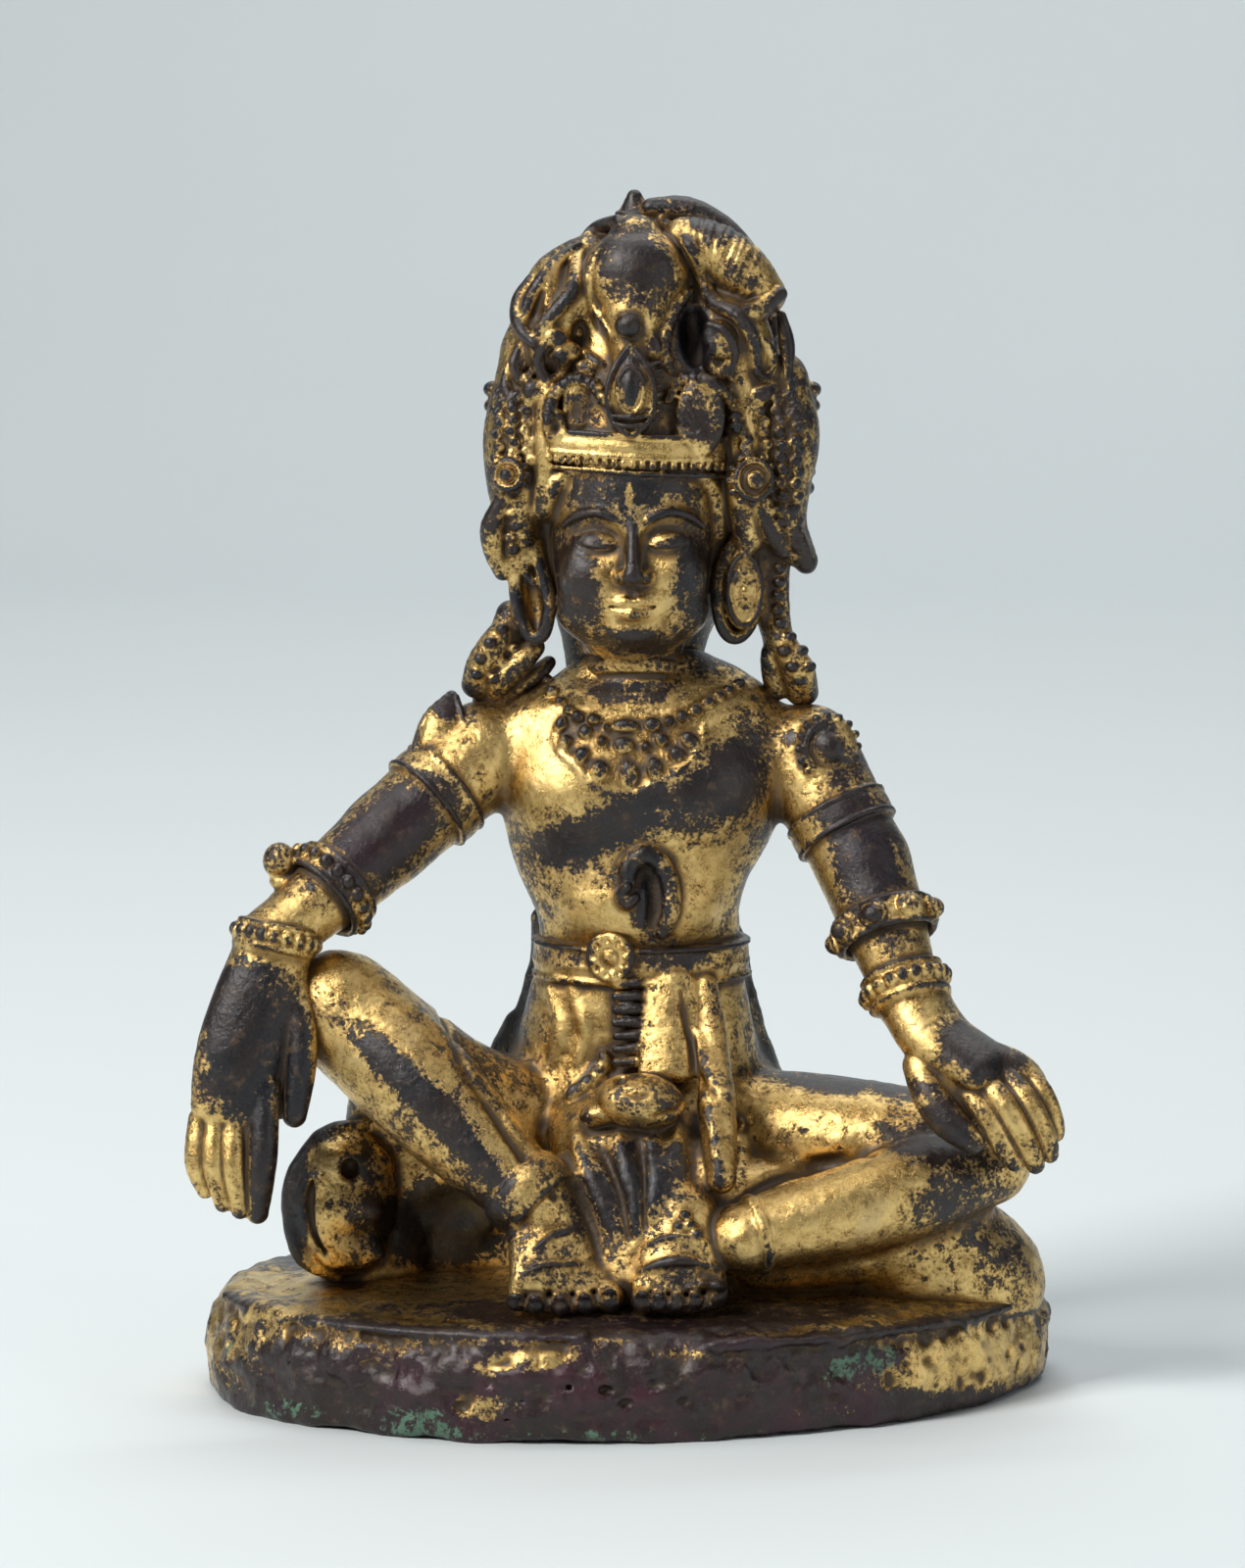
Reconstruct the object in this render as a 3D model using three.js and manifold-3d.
// A seated crowned bodhisattva, cast in one piece with its oval base: gilt copper alloy, about 191 mm high.
// Millimetres. +X is to the viewer's right, +Y away from the viewer and +Z up.
// The origin is the middle of the base's underside, which is flat and is what the figure stands on.
// "Left" and "right" in names are the viewer's left and right.
import * as THREE from "three";
import { mergeVertices } from "three/addons/utils/BufferGeometryUtils.js";
import Module from "manifold-3d";

const wasm = await Module();
wasm.setup();

// Driving dimensions

const BASE = { cx: 0.4, halfX: 68.4, halfY: 48.5, turn: 8, height: 17 };

const HIP_LEFT = [-6, 2, 37.5];
const KNEE_LEFT = [-43, -15, 64.2];
const ANKLE_LEFT = [-13, -33, 33.5];
const HIP_RIGHT = [12, 2, 41];
const KNEE_RIGHT = [57, -13, 37.6];
const ANKLE_RIGHT = [19, -33, 29.5];

const SHOULDER_LEFT = [-22, -1, 102];
const ELBOW_LEFT = [-37, -8.5, 89.5];
const WRIST_LEFT = [-53, -20, 76];
const SHOULDER_RIGHT = [29.2, -1, 101.6];
const ELBOW_RIGHT = [38.2, -8, 85];
const WRIST_RIGHT = [45, -18, 65.5];

// Torso sections from hips over belt to the neck's base: middle x, y and z, half width and half depth.
const TORSO = [
  [2.5, 2, 44, 21, 14.5],
  [2.4, 0.5, 55, 19, 13.5],
  [2.8, 0, 67.4, 16.4, 12.6],
  [3, 0, 68, 17, 13.6],
  [3, -0.2, 73, 16.6, 13.1],
  [2.6, -0.3, 73.6, 16, 11.8],
  [2.4, -0.6, 80, 17, 12.4],
  [2, -1, 89, 20.8, 13.4],
  [2.8, -1, 97, 23.6, 14.4],
  [3.4, -0.4, 104, 26, 12],
  [3, 0.6, 109.5, 18.5, 9],
  [2.6, 0.4, 114, 11.5, 7.4],
];

// The face is laid out on plain thirds from hairline to chin.
const FACE_MIDDLE = 1.6;
const CHIN_Z = 119.8;
const HAIRLINE_Z = 149.6;
const EYE_GAP = 5.3;

const FACING = [0, -1, 0];
const UP = [0, 0, 1];
const FINE = 10;
const PLAIN = 8;
const SMALL = 6;
const CORD = 5;

// Shape helpers

const v3 = (p) => new THREE.Vector3(p[0], p[1], p[2]);
const radians = (degrees) => THREE.MathUtils.degToRad(degrees);
const mix = (a, b, t) => a.map((value, i) => value + (b[i] - value) * t);

/** A closed solid from any closed three.js geometry. */
function solid(geometry) {
  const bare = geometry.clone();
  bare.deleteAttribute("normal");
  bare.deleteAttribute("uv");
  const merged = mergeVertices(bare, 1e-4);
  const mesh = new wasm.Mesh({
    numProp: 3,
    vertProperties: new Float32Array(merged.attributes.position.array),
    triVerts: new Uint32Array(merged.index.array),
  });
  return new wasm.Manifold(mesh);
}

/** A closed skin over rings of equally many points, pointed at its two ends. */
function skin(rings, first, last) {
  const sides = rings[0].length;
  const ends = rings.length * sides;
  const faces = [];
  for (let k = 0; k < sides; k++) {
    const next = (k + 1) % sides;
    for (let r = 0; r + 1 < rings.length; r++) {
      const [a, b] = [r * sides + k, r * sides + next];
      faces.push(a, b, b + sides, a, b + sides, a + sides);
    }
    faces.push(ends, next, k, ends + 1, ends - sides + k, ends - sides + next);
  }
  const points = [...rings.flat(), first, last].flatMap((p) => [p.x, p.y, p.z]);
  const geometry = new THREE.BufferGeometry();
  geometry.setAttribute("position", new THREE.Float32BufferAttribute(points, 3));
  geometry.setIndex(faces);
  return solid(geometry);
}

/** An ellipsoid, turned about Z by the given degrees. */
function ball(centre, half, turn = 0, sides = PLAIN) {
  const geometry = new THREE.SphereGeometry(1, sides, Math.max(4, Math.round(sides * 0.6)));
  geometry.rotateX(Math.PI / 2);
  geometry.scale(...half);
  geometry.rotateZ(radians(turn));
  geometry.translate(...centre);
  return solid(geometry);
}

/** A small bead or drop with few faces; the finest have eight. */
function bead(centre, half) {
  const fine = half[0] < 1.85;
  const geometry = fine ? new THREE.OctahedronGeometry(1.12) : new THREE.IcosahedronGeometry(1.05);
  geometry.scale(...half);
  geometry.translate(...centre);
  return solid(geometry);
}

/**
 * A limb along a smooth line through stations [x, y, z, half width, half height, crimp], with domed ends.
 * A crimp moves every other corner of that section in, which makes beads, petals or locks.
 */
function limb(stations, { sides = PLAIN, up = UP, steps = 1, dome = 0.6 } = {}) {
  const line = new THREE.CatmullRomCurve3(stations.map(v3), false, "catmullrom", 0.5);
  const spans = stations.map((s) => new THREE.Vector3(s[3], s[4] ?? s[3], s[5] ?? 0));
  const sizes = new THREE.CatmullRomCurve3(spans, false, "catmullrom", 0.5);
  const count = (stations.length - 1) * steps;
  const middles = Array.from({ length: count + 1 }, (_, i) => line.getPoint(i / count));
  const section = (i, share, shift) => {
    const size = sizes.getPoint(i / count);
    const on = middles[Math.min(count, i + 1)].clone().sub(middles[Math.max(0, i - 1)]).normalize();
    const side = v3(up).cross(on).normalize();
    const top = on.clone().cross(side).normalize();
    const middle = middles[i].clone().addScaledVector(on, shift * Math.min(size.x, size.y) * dome);
    if (share === 0) return middle;
    return Array.from({ length: sides }, (_, k) => {
      const a = ((k + 0.5) / sides) * 2 * Math.PI;
      const reach = share * (k % 2 ? 1 - size.z : 1);
      const across = size.x * reach * Math.cos(a);
      const over = size.y * reach * Math.sin(a);
      return middle.clone().addScaledVector(side, across).addScaledVector(top, over);
    });
  };
  const rim = Math.SQRT1_2;
  const rings = middles.map((_, i) => section(i, 1, 0));
  const all = [section(0, rim, -rim), ...rings, section(count, rim, rim)];
  return skin(all, section(0, 0, -1), section(count, 0, 1));
}

/** A limb of one thickness through plain points. */
function cord(points, radius, options = {}) {
  const stations = points.map((p) => [...p, radius, radius]);
  return limb(stations, { sides: CORD, ...options });
}

/** A column of curls: a cord that swells and narrows once for each curl. */
function curlColumn(from, to, curls, radius) {
  const stations = Array.from({ length: 2 * curls - 1 }, (_, k) => {
    const size = radius * (k % 2 ? 0.66 : 1);
    return [...mix(from, to, k / (2 * curls - 2)), size, size];
  });
  return limb(stations, { up: FACING, sides: CORD });
}

/** Stations that swell a limb into a beaded band, a share t of the way from a to b where it is r thick. */
function bandAt(a, b, t, r, lift, crimp = 0.1, width = 3) {
  const half = width / 2 / v3(a).distanceTo(v3(b));
  const at = (shift, rise, pinch) => [...mix(a, b, t + shift), r + rise, r + rise, pinch];
  return [at(-half, 0.3, 0), at(-half / 2, lift, crimp), at(half / 2, lift, crimp), at(half, 0.3, 0)];
}

/** A ring round a middle: half sizes across and up, thickness, and turns about X and Z in degrees. */
function hoop(centre, halfX, halfZ, thick, turn) {
  const geometry = new THREE.TorusGeometry(1, thick / halfX, 4, 8);
  geometry.scale(halfX, halfZ, halfX);
  geometry.rotateX(Math.PI / 2);
  geometry.rotateZ(radians(turn));
  geometry.translate(...centre);
  return solid(geometry);
}

/** A point on the front of the torso, sunk into it by a depth. */
function onChest(x, z, sunk = 0) {
  const above = Math.max(1, TORSO.findIndex((s) => s[2] >= z));
  const [low, high] = [TORSO[above - 1], TORSO[above]];
  const [cx, cy, , w, h] = mix(low, high, (z - low[2]) / (high[2] - low[2]));
  const across = Math.min(0.95, Math.abs(x - cx) / w);
  return [x, cy - h * Math.sqrt(1 - across * across) + sunk, z];
}

// The base: a bun with a rounded shoulder and an uneven rim, whose top rises a little under the figure

function base() {
  const [c, s] = [Math.cos(radians(BASE.turn)), Math.sin(radians(BASE.turn))];
  const level = (z, share) =>
    Array.from({ length: 26 }, (_, k) => {
      const a = (k / 26) * 2 * Math.PI;
      const uneven = share * (1 + 0.009 * Math.sin(3 * a + 1) + 0.006 * Math.sin(7 * a + 2));
      const x = BASE.halfX * uneven * Math.cos(a);
      const y = BASE.halfY * uneven * Math.sin(a);
      return new THREE.Vector3(BASE.cx + x * c - y * s, x * s + y * c, z);
    });
  const rim = [level(0, 0.975), level(2.2, 1), level(11.5, 1), level(15.2, 0.965)];
  const rings = [...rim, level(BASE.height, 0.88), level(BASE.height + 1.6, 0.55)];
  const foot = new THREE.Vector3(BASE.cx, 0, 0);
  const top = new THREE.Vector3(BASE.cx, 0, BASE.height + 2);
  return skin(rings, foot, top);
}

// Legs and feet

function legs() {
  const thighLeft = [
    [...HIP_LEFT, 11, 12],
    [...mix(HIP_LEFT, KNEE_LEFT, 0.5), 11, 10.5],
    [...mix(HIP_LEFT, KNEE_LEFT, 0.85), 10, 9.5],
    [KNEE_LEFT[0] - 2, KNEE_LEFT[1] - 1, KNEE_LEFT[2] + 0.5, 8.5, 8.2],
  ];
  const shinLeft = [
    [KNEE_LEFT[0] - 1, KNEE_LEFT[1], KNEE_LEFT[2] - 1, 9.4, 9],
    [...mix(KNEE_LEFT, ANKLE_LEFT, 0.35), 9.3, 9],
    [...mix(KNEE_LEFT, ANKLE_LEFT, 0.7), 7.8, 7.6],
    [...ANKLE_LEFT, 5.2, 5.2],
  ];
  const thighRight = [
    [...HIP_RIGHT, 12, 10],
    [34, -5, 41, 12, 9.2],
    [48, -9, 39.5, 11, 8.6],
    [...KNEE_RIGHT, 8, 6.4],
  ];
  const shinRight = [
    [58, -16, 37.2, 6, 4.6],
    [48, -21.5, 35.5, 7.6, 7.4],
    [34, -28, 32.4, 7, 7],
    [...ANKLE_RIGHT, 5.4, 5.2],
  ];
  return [thighLeft, shinLeft, thighRight, shinRight].map((stations) => limb(stations));
}

/** What stands under the folded leg: a mass between shin and base that flares out at its foot. */
function legSupport() {
  const under = [
    [4, -6, 28, 20, 14],
    [24, -9, 27, 18, 12.5],
    [42, -11, 27, 13, 10],
  ];
  const flare = [
    [50, -11, 35, 8.5, 8],
    [48.5, -10, 26, 12, 10],
    [47, -7, 20.5, 21, 14],
    [46, -4, 15, 21.5, 16],
  ];
  return [limb(under, { sides: SMALL }), limb(flare, { up: FACING })];
}

/** The rounded, moulded support that stands under the raised knee. */
function kneeSupport() {
  const body = [
    [-43.4, -7, 17, 9.4, 6.5],
    [-43.8, -6.5, 26, 10.6, 7.5],
    [-43, -5.5, 36, 9.8, 7.5],
    [-40, -6, 48, 6, 6],
  ];
  return [
    limb(body, { up: FACING }),
    bead([-41, -13, 27], [4, 2.8, 5]),
    ball([-28, -7, 33], [12, 9, 12], 0, SMALL),
  ];
}

/** One foot: a beaded anklet, and an instep that fans out to five toes. */
function foot(ankle, toes, halfWidth) {
  const heel = [ankle[0], ankle[1] + 4, ankle[2] + 1.5];
  const middle = mix(ankle, toes, 0.55);
  const stations = [
    ...bandAt(heel, ankle, 0.6, 6.6, 1.5),
    [middle[0], middle[1], middle[2], halfWidth * 0.8, 6.4],
    [toes[0], toes[1] + 2.6, toes[2] - 0.6, halfWidth, 3.8],
  ];
  const parts = [limb(stations)];
  for (let k = -2; k <= 2; k++) {
    const tip = [toes[0] + k * halfWidth * 0.43, toes[1] + 0.4 + Math.abs(k) * 0.5, toes[2] - 0.6];
    parts.push(bead(tip, [1.9, 4, 2.4]));
  }
  return parts;
}

function feet() {
  return [...foot(ANKLE_LEFT, [-9.8, -42.2, 20.6], 9.4), ...foot([9, -32, 33], [9.4, -42, 20.6], 8.8)];
}

// The skirt cloth: buckle, pleated strip, flap, bunched fold and the curtain between the shins

function skirt() {
  const strip = [
    [...onChest(0.8, 67, 0.4), 2, 1.8],
    [...onChest(0.8, 60, -0.4), 2, 1.8],
    [0.6, -16.8, 53, 2, 1.8],
  ];
  const flap = [
    [7.2, -12.4, 67, 4.2, 2],
    [7.4, -14.6, 60, 4.5, 2.2],
    [7.2, -17, 53, 4.8, 2],
  ];
  const fold = [
    [13.2, -11, 66, 2],
    [14.4, -15, 57, 2.4],
    [14.8, -22.4, 48, 3],
    [15.6, -28.4, 38, 2.4],
  ];
  const lap = [
    [2, -8, 46, 14, 8],
    [2.2, -24, 37, 13, 7.4],
    [1, -33, 20, 9, 6],
  ];
  return [
    bead([-2.3, -12.8, 70.6], [4.3, 2.4, 4.3]),
    limb(strip, { up: FACING, sides: CORD }),
    limb(flap, { up: FACING, sides: SMALL }),
    limb(fold, { up: FACING, sides: CORD }),
    limb(lap),
    ball([2.8, -23.4, 49.6], [7.2, 6.6, 4.6], 0, PLAIN),
  ];
}

/** The unchased end of the garment that spreads behind the hips. */
function backDrape() {
  const stations = [
    [0.4, 7.4, 77, 15.6, 4.5],
    [2.4, 9, 67, 18, 6.5],
    [2.6, 9.5, 57, 20.5, 9],
    [2, 9, 46, 24.5, 12],
    [2, 8, 30, 27, 15],
    [1, 7, 14, 30, 18],
  ];
  return limb(stations, { up: FACING });
}

// Torso, arms and hands

function torso() {
  const neck = [
    [2.3, -0.5, 108, 9, 8.4],
    [2, -1.4, 114, 7.7, 7.6],
    [1.6, -2, 123, 7.7, 8.2],
  ];
  return [
    limb(TORSO, { up: FACING, sides: 12 }),
    limb(neck, { up: FACING }),
  ];
}

/** An arm from shoulder to wrist, slightly bent at the elbow, with an armlet and two beaded bracelets. */
function arm(shoulder, elbow, wrist, cuffs) {
  const stations = [
    [...shoulder, 8, 8.6],
    ...bandAt(shoulder, elbow, 0.5, 7.9, 1.5, 0),
    [...elbow, 7.4, 7.4],
    ...bandAt(elbow, wrist, cuffs[0], 6.5, 2.1, 0.12, 4.4),
    [...mix(elbow, wrist, (cuffs[0] + cuffs[1]) / 2), 5.8, 5.8],
    ...bandAt(elbow, wrist, cuffs[1], 5.6, 1.8, 0.12),
  ];
  return limb(stations, { sides: FINE });
}

function arms() {
  const leaf = [
    [-30, -6.5, 102, 4, 2],
    [-28.4, -4.6, 107.6, 3.6, 2],
    [-27.2, -3, 111, 1.4, 1.2],
  ];
  return [
    arm(SHOULDER_LEFT, ELBOW_LEFT, WRIST_LEFT, [0.58, 1.08]),
    arm(SHOULDER_RIGHT, ELBOW_RIGHT, WRIST_RIGHT, [0.5, 0.98]),
    limb(leaf, { up: FACING, sides: CORD }),
    bead([32.2, -7.4, 103.8], [5, 3.2, 4.8]),
    bead([-54, -16.5, 87], [3, 3, 3]),
  ];
}

/** The hand that hangs over the raised knee, its back to the viewer. */
function hangingHand() {
  const palm = [
    [...WRIST_LEFT, 5.4, 5.4],
    [-57.2, -22.6, 66, 7, 4.8],
    [-58.6, -25, 55, 8.8, 4.2],
    [-60, -26.2, 46.5, 7.8, 3.4],
  ];
  const fingers = [
    [[-65.4, -26, 46], [-66, -27.4, 40], [-64.2, -27.6, 34.8]],
    [[-62.2, -26.6, 46], [-62.6, -28, 39], [-61.2, -28, 32.6]],
    [[-58.8, -26.8, 46], [-59, -28.6, 38.5], [-58.4, -28.4, 31.2]],
    [[-55.4, -26.4, 48], [-55.2, -28, 40], [-56, -28, 33.4]],
    [[-54, -23, 65], [-50.6, -24.6, 57], [-49.8, -25.4, 49.4]],
  ];
  return [limb(palm, { up: FACING }), ...fingers.map((points) => cord(points, 2.5, { sides: 4 }))];
}

/** The hand laid over the folded knee, its fingers curling down. */
function restingHand() {
  const palm = [
    [...WRIST_RIGHT, 5.6, 5],
    [48, -20, 59, 8, 5],
    [58, -21.6, 53.2, 9.6, 4.4],
  ];
  const fingers = [
    [[52.6, -27, 51], [55, -29.4, 46.4], [57.4, -29.6, 42.2]],
    [[56.2, -26.4, 51.4], [59.4, -28.8, 46.8], [61.4, -29, 41.4]],
    [[60, -24.6, 51.8], [63.6, -27, 46.4], [65, -27, 41]],
    [[61.6, -20.6, 53.6], [67, -22.4, 49.4], [68, -23.4, 44.6]],
    [[47, -24.4, 57], [49.4, -28, 50.4], [53, -29.4, 45.2]],
  ];
  return [limb(palm), ...fingers.map((points) => cord(points, 2.5, { sides: 4 }))];
}

/** Three rows of beads and drops on the chest. */
function necklace() {
  const rows = [
    { count: 6, z: 106.6, half: 10.4, rise: 3, size: [1.7, 1.5, 1.4] },
    { count: 5, z: 103.4, half: 9.2, rise: 3, size: [1.6, 1.5, 1.7] },
    { count: 5, z: 99.6, half: 7.6, rise: 3.2, size: [1.8, 1.7, 2.6] },
  ];
  return rows.flatMap(({ count, z, half, rise, size }) =>
    Array.from({ length: count }, (_, k) => {
      const t = (2 * k) / (count - 1) - 1;
      return bead(onChest(1.6 + t * half, z + t * t * rise, 0.3), size);
    }),
  );
}

/** The curled tie that stands on the belly above the belt. */
function bellyTie() {
  const hook = [[0.8, 84.6], [1.4, 88.6], [4.6, 89.4], [7.6, 85.6], [6.2, 76.6]];
  return cord(hook.map(([x, z]) => onChest(x, z, 0.6)), 2);
}

// Head and face

function head() {
  const third = (HAIRLINE_Z - CHIN_Z) / 3;
  const browZ = HAIRLINE_Z - third;
  const noseZ = browZ - third;
  const mouthZ = noseZ - third * 0.34;
  const skull = [
    [FACE_MIDDLE, -5, CHIN_Z + 2, 5.8, 8.6],
    [FACE_MIDDLE, -5, CHIN_Z + 5.2, 9.8, 10.8],
    [FACE_MIDDLE, -5, noseZ, 12.4, 11.6],
    [FACE_MIDDLE, -5, browZ - 2.6, 13.5, 11.4],
    [FACE_MIDDLE, -5, browZ + 3.5, 13.6, 11.4],
    [FACE_MIDDLE, -5, HAIRLINE_Z + 1.6, 12.8, 9.8],
  ];
  const nose = [
    [FACE_MIDDLE, -15.6, browZ - 0.4, 1.2, 1.4],
    [FACE_MIDDLE, -16.8, browZ - 5, 1.5, 1.9],
    [FACE_MIDDLE, -17.6, noseZ + 1.6, 2.8, 2.1],
  ];
  const parts = [
    limb(skull, { up: FACING, sides: 12 }),
    limb(nose, { up: FACING, sides: SMALL }),
    ball([FACE_MIDDLE, -15.2, mouthZ + 0.7], [4, 1.7, 1], 0, SMALL),
    ball([FACE_MIDDLE, -14.8, mouthZ - 0.9], [3.2, 1.8, 1.2], 0, SMALL),
    bead([FACE_MIDDLE, -12, CHIN_Z + 2.6], [3.8, 2.8, 2.4]),
  ];
  for (const side of [-1, 1]) {
    parts.push(ball([FACE_MIDDLE + side * EYE_GAP, -14.7, browZ - 3.2], [3.1, 1.8, 1.5], side * 20, SMALL));
  }
  return parts;
}

/** A long ear lobe as an upright loop, with its earring hanging inside. */
function ear(centre, halfX, halfZ, turn) {
  const drop = bead(centre, [halfX * 0.66, 1.6, halfZ * 0.8]);
  return [hoop(centre, halfX - 1.4, halfZ - 1.4, 1.5, turn), drop];
}

// Crown and hair

/** A round flower: a disc with a petalled rim, a groove and a raised middle, turned about Z. */
function rosette(middle, radius, turn, petals = 5) {
  const out = new THREE.Vector3(Math.sin(radians(turn)), -Math.cos(radians(turn)), 0);
  const side = new THREE.Vector3(Math.cos(radians(turn)), Math.sin(radians(turn)), 0);
  const loop = (share, lift, crimp) =>
    Array.from({ length: 2 * petals }, (_, k) => {
      const a = ((k + 0.5) / petals) * Math.PI;
      const reach = radius * share * (k % 2 ? 1 - crimp : 1);
      const p = v3(middle).addScaledVector(side, reach * Math.cos(a)).addScaledVector(out, lift * radius);
      return p.add(new THREE.Vector3(0, 0, reach * Math.sin(a)));
    });
  const end = (lift) => v3(middle).addScaledVector(out, lift * radius);
  return skin([loop(0.9, -0.8, 0), loop(1, 0.3, 0.14), loop(0.55, 0.4, 0)], end(-0.8), end(0.85));
}

function crown() {
  const band = [
    [-12.6, -3, 152.2, 1.8, 2.2],
    [-8.4, -12, 152, 1.8, 2.2],
    [1.6, -15.6, 151.4, 1.8, 2.2],
    [11.8, -12.4, 150.6, 1.8, 2.2],
    [16.4, -3.6, 150.4, 1.8, 2.2],
  ];
  const cap = [
    [2, -1, 149, 14.8, 13.6],
    [2.6, -1.4, 156, 16.4, 14],
    [3, -0.6, 164, 15.6, 13.4],
    [3.2, 1, 171, 14, 11],
  ];
  const edgeLeft = [
    [-0.8, -3, 187], [-6, -8, 180.6], [-9, -11, 172.7], [-12.7, -11.4, 168.6], [-14.3, -10.4, 162],
  ];
  const edgeRight = [
    [5.4, -3, 187], [9.8, -8, 181], [13, -10.4, 174.6], [19.4, -9.4, 170], [20.6, -8, 161],
  ];
  const wing = [
    [10.6, -10.6, 175.6, 1.8, 2.6],
    [8.6, -13.6, 169, 2.4, 3],
    [7.2, -14.4, 163, 1.6, 2.6],
  ];
  return [
    limb(band, { sides: CORD }),
    limb(cap, { up: FACING }),
    ball([2.8, -8.4, 177], [8.5, 7.4, 9.8]),
    bead([1.7, -14.4, 168.2], [3.3, 3.6, 3.6]),
    ball([1.7, -16.4, 160.6], [5.1, 2.8, 7.8], 0, SMALL),
    bead([1.5, -18.6, 161], [2.6, 1.6, 5]),
    cord(edgeLeft, 1.6),
    cord(edgeRight, 1.6),
    limb(wing, { up: FACING, sides: CORD }),
    bead([-10.2, -10.4, 164.8], [4.4, 4.2, 4]),
    bead([15.4, -10, 166.4], [4, 4.2, 5.2]),
    rosette([-8.2, -13, 158], 4.8, -24),
    rosette([11.8, -12.8, 157.8], 5.1, 22),
  ];
}

function hair() {
  const dome = [
    [3.2, 3, 134, 17.5, 11],
    [4.6, 4, 148, 20.8, 15.8, 0.06],
    [4.8, 4.6, 160, 22.7, 17, 0.06],
    [4.6, 4.2, 172, 21.4, 16, 0.06],
    [4.2, 3.4, 179.6, 17.2, 13.4, 0.06],
    [2.8, 3, 184, 12.8, 10.5],
    [2.4, 2.2, 187.6, 6.4, 6],
    [2, 0.6, 189.4, 2.6, 2.8],
    [2, 0.4, 190.8, 1.5, 1.5],
  ];
  const nape = [
    [2, 7, 134, 18, 9],
    [1.6, 8, 120, 18, 8],
    [1.6, 9, 111, 16, 6.4],
    [3, 10, 98, 9, 3.6],
  ];
  const rollRight = [
    [14, -4.6, 182.4, 3.2, 3],
    [22.4, -3, 175.4, 3.9, 3.2],
  ];
  return [
    limb(dome, { up: FACING, sides: 14 }),
    limb(nape, { up: FACING, sides: SMALL }),
    cord([[-10.6, -3, 178.6], [-15.4, -3.4, 173], [-16.6, -5, 164]], 2.2),
    limb(rollRight, { sides: SMALL }),
  ];
}

/** Snail curls in columns beside the crown. */
function sideCurls() {
  return [
    curlColumn([-19.2, 0, 158], [-20, 0, 144], 4, 3.5),
    curlColumn([-15.2, -5.6, 159.4], [-15.6, -5.6, 151.6], 2, 3.4),
    curlColumn([26.8, 0, 160.6], [28.4, 0, 143.6], 4, 4),
    curlColumn([20.4, -6.2, 159.6], [21.4, -5.6, 151.4], 2, 3.5),
  ];
}

/** Rosettes over the ears, ribbon tails, and the strands that fall to the shoulders. */
function ribbons() {
  const tails = [
    [[-16.6, -1, 144, 4.4, 4], [-18.4, -0.6, 136, 3.6, 3], [-18.2, 0, 130.4, 2.4]],
    [[24, 0, 144, 5, 4], [25.6, 0, 136, 4.4, 3.4], [29.4, 0, 131.6, 2.6]],
    [[-14.4, 2, 132, 3.6, 4], [-14.6, 2, 121, 4, 4], [-18.6, 1, 114.4, 6.2, 4], [-17, 0, 107, 8, 4.4]],
    [[25, 1.4, 138, 2.4, 3], [24.6, 1.4, 124, 2.2], [26.6, 0.4, 117, 3.6], [23.2, 0, 108, 8.8, 4.4]],
  ].map((stations) => limb(stations, { up: FACING, sides: CORD }));
  return [
    ...tails,
    bead([-15.6, -5.4, 145.8], [3.4, 3.8, 3.4]),
    bead([19.8, -5.6, 145.4], [3.6, 3.8, 3.6]),
  ];
}

// Assembly: everything is one casting

/** Joins the parts two by two, which keeps each join small. */
function joined(parts) {
  if (parts.length === 1) return parts[0];
  const half = Math.ceil(parts.length / 2);
  return joined(parts.slice(0, half)).add(joined(parts.slice(half)));
}

function casting() {
  const groups = [
    [base()],
    legs(),
    legSupport(),
    kneeSupport(),
    feet(),
    skirt(),
    [backDrape()],
    torso(),
    arms(),
    hangingHand(),
    restingHand(),
    necklace(),
    [bellyTie()],
    head(),
    ear([-14.2, -2.6, 127.6], 4.2, 9, -24),
    ear([18.4, -2.4, 128], 5, 9.4, 20),
    crown(),
    hair(),
    sideCurls(),
    ribbons(),
  ];
  return joined(groups.map(joined));
}

/** The joined solid as one three.js geometry. */
function geometryOf(manifold) {
  const mesh = manifold.getMesh();
  const geometry = new THREE.BufferGeometry();
  geometry.setAttribute("position", new THREE.Float32BufferAttribute(mesh.vertProperties, 3));
  geometry.setIndex(new THREE.Uint32BufferAttribute(mesh.triVerts, 1));
  return geometry;
}

const giltCopper = new THREE.MeshStandardMaterial({ color: 0xb98a3c, roughness: 0.38, metalness: 1 });
const statue = new THREE.Mesh(geometryOf(casting()), giltCopper);
statue.name = "figure_and_base";
const root = new THREE.Group();
root.add(statue);

export default root;
